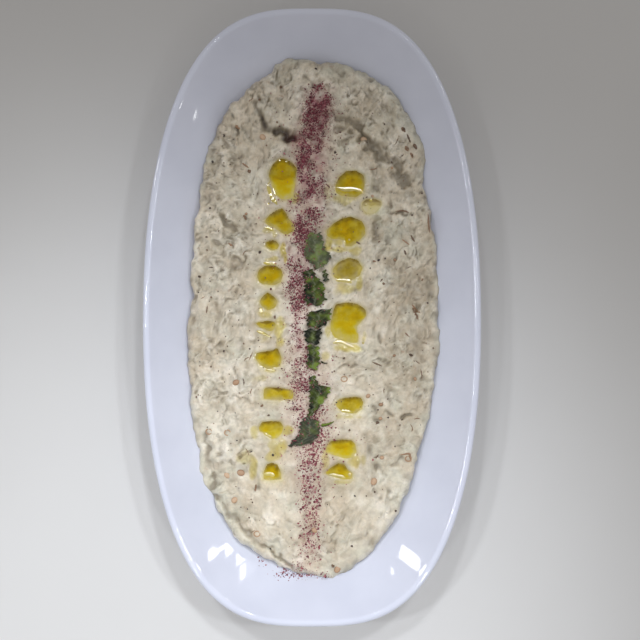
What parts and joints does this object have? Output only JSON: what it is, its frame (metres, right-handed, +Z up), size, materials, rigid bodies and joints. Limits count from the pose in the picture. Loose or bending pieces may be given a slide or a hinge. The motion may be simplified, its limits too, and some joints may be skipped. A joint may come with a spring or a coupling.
{
  "type": "baba ganoush in an oval dish",
  "caption": "Oval glazed dish filled with a low heap of mashed aubergine dip, with pools of oil, a line of sumac and chopped parsley down the middle.",
  "frame": {"origin": "middle of the dish's foot, on the surface that the dish stands on", "axes": "+Z up out of the dish; +Y along the dish, from the near end to the far end; +X across it, to the right"},
  "size_m": [0.153, 0.28, 0.032],
  "materials": {
    "glaze": "smooth cool white glaze",
    "dip": "moist, coarse mashed aubergine",
    "sumac": "coarse dry sumac",
    "seed": "aubergine seeds and charred flecks",
    "oil": "olive oil, wet and clear",
    "parsley": "chopped fresh parsley"
  },
  "bodies": {
    "root": {"dish": "glaze", "dip": "dip", "oil_left_1": "oil", "oil_left_10": "oil", "oil_left_2": "oil", "oil_left_3": "oil", "oil_left_4": "oil", "oil_left_5": "oil", "oil_left_6": "oil", "oil_left_7": "oil", "oil_left_8": "oil", "oil_left_9": "oil", "oil_right_1": "oil", "oil_right_2": "oil", "oil_right_3": "oil", "oil_right_4": "oil", "oil_right_5": "oil", "oil_right_6": "oil", "oil_right_7": "oil", "oil_right_8": "oil", "parsley_leaf_1": "parsley", "parsley_leaf_2": "parsley", "parsley_leaf_3": "parsley", "parsley_leaf_4": "parsley", "parsley_leaf_5": "parsley", "parsley_leaf_6": "parsley", "parsley_leaf_7": "parsley", "parsley_leaf_8": "parsley", "parsley_shred_1": "parsley", "parsley_shred_2": "parsley"}
  },
  "joints": []
}
